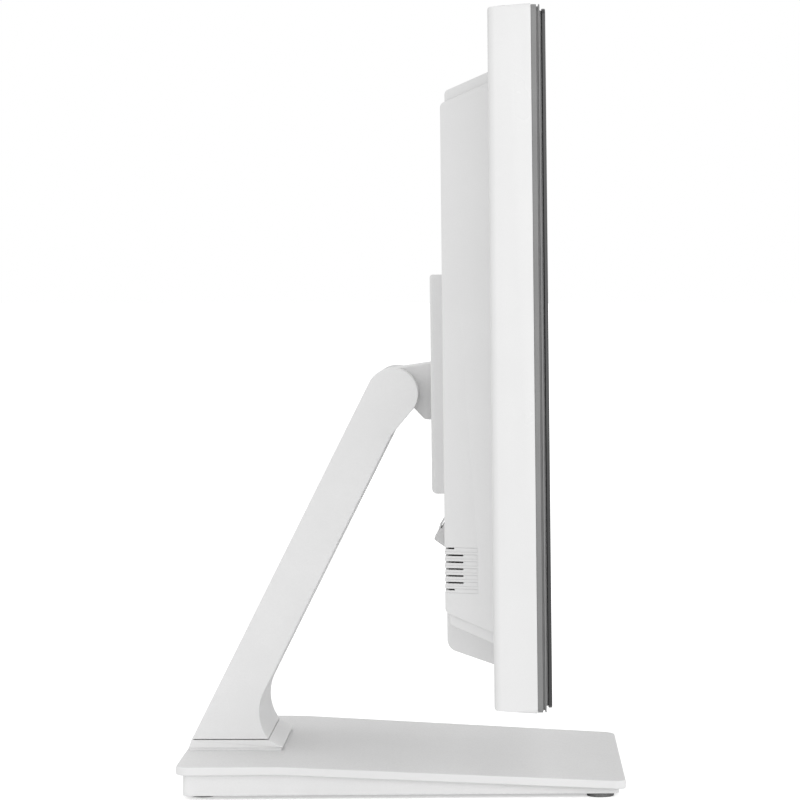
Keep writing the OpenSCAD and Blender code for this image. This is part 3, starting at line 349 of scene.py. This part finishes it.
def moulded(name, tone, rough, grain=1500.0, depth=0.02, shade=0.03, dust=0.25):
    """Moulded plastic: grained, a little uneven in tone, polished at its edges, dusty on top."""
    finish = Finish(name)
    grains = finish.group(GRAIN, Scale=grain)
    smears = finish.group(HANDLING)
    dusty = finish.group(DUST, Amount=dust)
    polish = finish.group(WEAR)
    base = finish.mix(grains.outputs["Tone"], tint(tone - shade), tint(tone + shade / 2))
    grey = tint(tone * DUST_SHADE, 0.01)
    finish.link(finish.mix(dusty.outputs["Mask"], base, grey), finish.shader.inputs["Base Color"])
    worn = finish.span(smears.outputs["Mask"], rough - 0.04, rough + 0.05)
    polished = finish.tree.nodes.new("ShaderNodeMath")
    polished.operation = "MULTIPLY_ADD"
    finish.link(polish.outputs["Mask"], polished.inputs[0])
    polished.inputs[1].default_value = TOUCH_POLISH
    finish.link(worn, polished.inputs[2])
    finish.link(polished.outputs[0], finish.shader.inputs["Roughness"])
    finish.bump(grains.outputs["Height"], depth * MM)
    return finish.material


def metal(name, colour, rough, stretch=1.0):
    """Bare metal with fine rolling or turning marks."""
    finish = Finish(name, Metallic=1.0)
    marks = finish.texture("ShaderNodeTexNoise", 900.0 * stretch, Detail=4.0, Roughness=0.7)
    smears = finish.group(HANDLING, Scale=25.0)
    worn_tone = 0.8
    dull = tuple(c * worn_tone for c in colour[:3]) + (1,)
    finish.link(finish.mix(marks.outputs["Fac"], dull, colour), finish.shader.inputs["Base Color"])
    uneven = finish.span(smears.outputs["Mask"], rough - 0.08, rough + 0.1)
    finish.link(uneven, finish.shader.inputs["Roughness"])
    finish.bump(marks.outputs["Fac"], 0.01 * MM)
    return finish.material


def leather_grain():
    """The foot's top plate: a cast of fine leather, in cells with soft valleys."""
    finish = Finish("foot_leather_grain")
    cells = finish.texture("ShaderNodeTexVoronoi", 950.0, feature="SMOOTH_F1", Smoothness=0.6)
    cells.inputs["Detail"].default_value = 1.0
    fine = finish.texture("ShaderNodeTexNoise", 2300.0, Detail=2.0)
    dusty = finish.group(DUST, Amount=0.25)
    smears = finish.group(HANDLING)
    fine_share = 0.35
    height = finish.tree.nodes.new("ShaderNodeMath")
    height.operation = "MULTIPLY_ADD"
    finish.link(fine.outputs["Fac"], height.inputs[0])
    height.inputs[1].default_value = fine_share
    finish.link(cells.outputs["Distance"], height.inputs[2])
    top = finish.facing_up(0.9, 0.97)
    relief = finish.tree.nodes.new("ShaderNodeMath")
    relief.operation = "MULTIPLY"
    finish.link(height.outputs[0], relief.inputs[0])
    finish.link(top, relief.inputs[1])
    grained = finish.mix(cells.outputs["Distance"], tint(0.88), tint(0.78))
    dulled = finish.mix(dusty.outputs["Mask"], grained, tint(0.7, 0.01))
    finish.link(finish.mix(top, tint(0.86), dulled), finish.shader.inputs["Base Color"])
    finish.link(finish.span(smears.outputs["Mask"], 0.4, 0.52), finish.shader.inputs["Roughness"])
    finish.bump(relief.outputs[0], 0.09 * MM)
    return finish.material


def dark_frame():
    """Satin grey moulding between the rim and the glass."""
    return moulded("frame_satin_grey", 0.235, 0.38, grain=1300.0, depth=0.012, shade=0.02, dust=0.1)


def rubber():
    """Dark grey rubber, dusty and dull."""
    finish = Finish("rubber_grey")
    grains = finish.group(GRAIN, Scale=900.0, Patch=60.0)
    dusty = finish.group(DUST, Amount=0.5)
    base = finish.mix(grains.outputs["Tone"], tint(0.14), tint(0.19))
    finish.link(finish.mix(dusty.outputs["Mask"], base, tint(0.3)), finish.shader.inputs["Base Color"])
    finish.link(finish.span(grains.outputs["Tone"], 0.7, 0.85), finish.shader.inputs["Roughness"])
    finish.bump(grains.outputs["Height"], 0.05 * MM)
    return finish.material


def solder_mask():
    """Circuit board: green mask over copper runs that show as a paler raised pattern."""
    finish = Finish("board_solder_mask", Coat_Weight=0.3)
    runs = finish.texture("ShaderNodeTexVoronoi", 260.0, feature="DISTANCE_TO_EDGE", distance="CHEBYCHEV")
    edge = add_node(finish.tree, "ShaderNodeMapRange")
    edge.inputs["From Max"].default_value = 0.08
    finish.link(runs.outputs["Distance"], edge.inputs["Value"])
    smears = finish.group(HANDLING, Scale=30.0)
    green = (0.012, 0.09, 0.045, 1)
    copper_under = (0.03, 0.2, 0.1, 1)
    tone = finish.mix(edge.outputs["Result"], copper_under, green)
    finish.link(tone, finish.shader.inputs["Base Color"])
    finish.link(finish.span(smears.outputs["Mask"], 0.25, 0.4), finish.shader.inputs["Roughness"])
    finish.bump(edge.outputs["Result"], -0.03 * MM)
    return finish.material


def ribbon_film():
    """Amber film of the flat lead, with tracks along it."""
    finish = Finish("ribbon_amber_film", Coat_Weight=0.4)
    tracks = finish.texture("ShaderNodeTexWave", 300.0, bands_direction="X", Distortion=0.0)
    finish.link(finish.mix(tracks.outputs["Fac"], (0.3, 0.14, 0.03, 1), (0.5, 0.3, 0.09, 1)),
                finish.shader.inputs["Base Color"])
    finish.link(finish.span(tracks.outputs["Fac"], 0.25, 0.4), finish.shader.inputs["Roughness"])
    return finish.material


def screen_glass():
    """Front glass over a dark display: black printed border, slightly paler picture area."""
    low, high = upright_box("display_panel")
    finish = Finish("screen_black_glass", IOR=1.5, Coat_Weight=1.0, Coat_Roughness=0.02)
    centre = LEAN @ ((low + high) / 2)
    place = finish.tree.nodes.new("ShaderNodeTexCoord")
    shift = finish.tree.nodes.new("ShaderNodeMapping")
    shift.inputs["Location"].default_value = (-centre.x, 0, -centre.z)
    finish.link(place.outputs["Object"], shift.inputs["Vector"])
    split = finish.tree.nodes.new("ShaderNodeSeparateXYZ")
    finish.link(shift.outputs["Vector"], split.inputs[0])
    inside = []
    border = 9.5 * MM
    for axis, half in (("X", (high.x - low.x) / 2 - border), ("Z", (high.z - low.z) / 2 - border)):
        size = add_node(finish.tree, "ShaderNodeMath", operation="ABSOLUTE")
        finish.link(split.outputs[axis], size.inputs[0])
        test = add_node(finish.tree, "ShaderNodeMath", operation="LESS_THAN")
        test.inputs[1].default_value = half
        finish.link(size.outputs[0], test.inputs[0])
        inside.append(test)
    both = add_node(finish.tree, "ShaderNodeMath", operation="MULTIPLY")
    finish.link(inside[0].outputs[0], both.inputs[0])
    finish.link(inside[1].outputs[0], both.inputs[1])
    smears = finish.group(HANDLING, Scale=6.0)
    finish.link(finish.mix(both.outputs[0], (0.006, 0.006, 0.007, 1), (0.016, 0.017, 0.02, 1)),
                finish.shader.inputs["Base Color"])
    finish.link(finish.span(smears.outputs["Mask"], 0.05, 0.11), finish.shader.inputs["Roughness"])
    return finish.material


FINISHES = {
    "white_plastic": moulded("housing_white", 0.79, 0.42, grain=1700.0, depth=0.012, shade=0.012),
    "stand_plastic": moulded("stand_white", 0.88, 0.46, grain=1200.0, depth=0.03, shade=0.02),
    "foot_plastic": leather_grain(),
    "key_plastic": moulded("key_white", 0.84, 0.36, grain=1900.0, depth=0.008, shade=0.01),
    "frame_plastic": dark_frame(),
    "black_glass": screen_glass(),
    "dark_plastic": moulded("moulded_black", 0.035, 0.5, grain=1100.0, depth=0.02, shade=0.01, dust=0.3),
    "rubber_grey": rubber(),
    "steel_sheet": metal("zinc_sheet", (0.6, 0.61, 0.63, 1), 0.42),
    "steel_part": metal("turned_steel", (0.52, 0.53, 0.55, 1), 0.3, 1.6),
    "white_casting": moulded("knuckle_white", 0.85, 0.4, grain=1400.0, depth=0.015, shade=0.015),
    "fin_metal": metal("fin_aluminium", (0.76, 0.77, 0.79, 1), 0.35, 0.7),
    "copper_metal": metal("bright_copper", (0.8, 0.42, 0.24, 1), 0.28, 1.2),
    "board_green": solder_mask(),
    "ribbon_film": ribbon_film(),
}


# ---------------------------------------------------------------- pieces

def add_piece(name, b, body, slot):
    """Object from a finished bmesh, in place, riding on a body and wearing a slot's finish."""
    mesh = bpy.data.meshes.new(name)
    b.to_mesh(mesh)
    b.free()
    mesh.materials.append(FINISHES[slot])
    for polygon in mesh.polygons:
        polygon.material_index = 0
    mesh.shade_smooth()
    mesh.set_sharp_from_angle(angle=SMOOTH_BELOW)
    piece = bpy.data.objects.new(name, mesh)
    scene.collection.objects.link(piece)
    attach(piece, body)
    return piece


def merged_copy(node):
    """Copy of a CAD node's mesh as clean faces, with its doubled points merged."""
    b = bmesh.new()
    b.from_mesh(nodes[node].data)
    bmesh.ops.remove_doubles(b, verts=b.verts, dist=MERGE_WITHIN)
    bmesh.ops.dissolve_degenerate(b, edges=b.edges, dist=MERGE_WITHIN / 2)
    bmesh.ops.dissolve_limit(b, angle_limit=SAME_FACE, verts=b.verts, edges=b.edges)
    return b


def refined(node, radius, leave=None):
    """Copy of a CAD node with its sharp edges rounded to a radius in metres.

    Edges that reach into the box leave, a lowest and a highest corner, stay sharp.
    """
    b = merged_copy(node)
    weight = b.edges.layers.float.new("bevel_weight_edge")
    for edge in b.edges:
        inside = leave and any(
            all(leave[0][k] < v.co[k] < leave[1][k] for k in range(3)) for v in edge.verts)
        if not inside and len(edge.link_faces) == 2:
            edge[weight] = float(edge.calc_face_angle() > SHARP_EDGE)
    piece = add_piece(node + "_shell", b, body_of[node], slot_of[node])
    soften = piece.modifiers.new("rounded_edges", "BEVEL")
    soften.width = radius
    soften.segments = ROUNDING_STEPS
    soften.limit_method = "WEIGHT"
    soften.use_clamp_overlap = False
    soften.miter_outer = "MITER_ARC"
    soften.harden_normals = True
    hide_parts(node)


# Radius of the rounded edges of each node that shows, in millimetres
REFINED = {
    "base_top_plate": 0.8, "base_pan": 0.5, "rubber_feet": 0.4, "neck_plinth": 0.25,
    "neck_shell": 0.5, "neck_front_cover": 0.35, "tilt_knuckle": 0.7, "bracket_cover": 0.3,
    "rear_housing": 0.3, "rear_cover": 0.25, "port_cover": 0.35, "cable_clip": 0.25,
    "front_frame": 0.3, "front_glass": 0.5, "port_panel": 0.1, "data_sockets": 0.2,
    "network_socket": 0.2, "video_socket": 0.2, "audio_jacks": 0.25, "power_inlet": 0.25,
    "power_button": 0.3, "key_up": 0.3, "key_down": 0.3, "key_menu": 0.3,
}


def dress_cad_nodes():
    """Every CAD node in its slot's finish."""
    for name, node in nodes.items():
        node.data.materials.clear()
        node.data.materials.append(FINISHES[slot_of[name]])


make_camera()
make_studio()
dress_cad_nodes()
# Rounding the housing's edges beside the port cover throws a stray face across the cover's side,
# so those edges stay sharp.
port_points = [v.co for v in nodes["port_cover"].data.vertices]
margin = 2 * MM
port_box = ([min(p[k] for p in port_points) - margin for k in range(3)],
            [max(p[k] for p in port_points) + margin for k in range(3)])
for node, radius in REFINED.items():
    refined(node, radius * MM, leave=port_box if node == "rear_housing" else None)
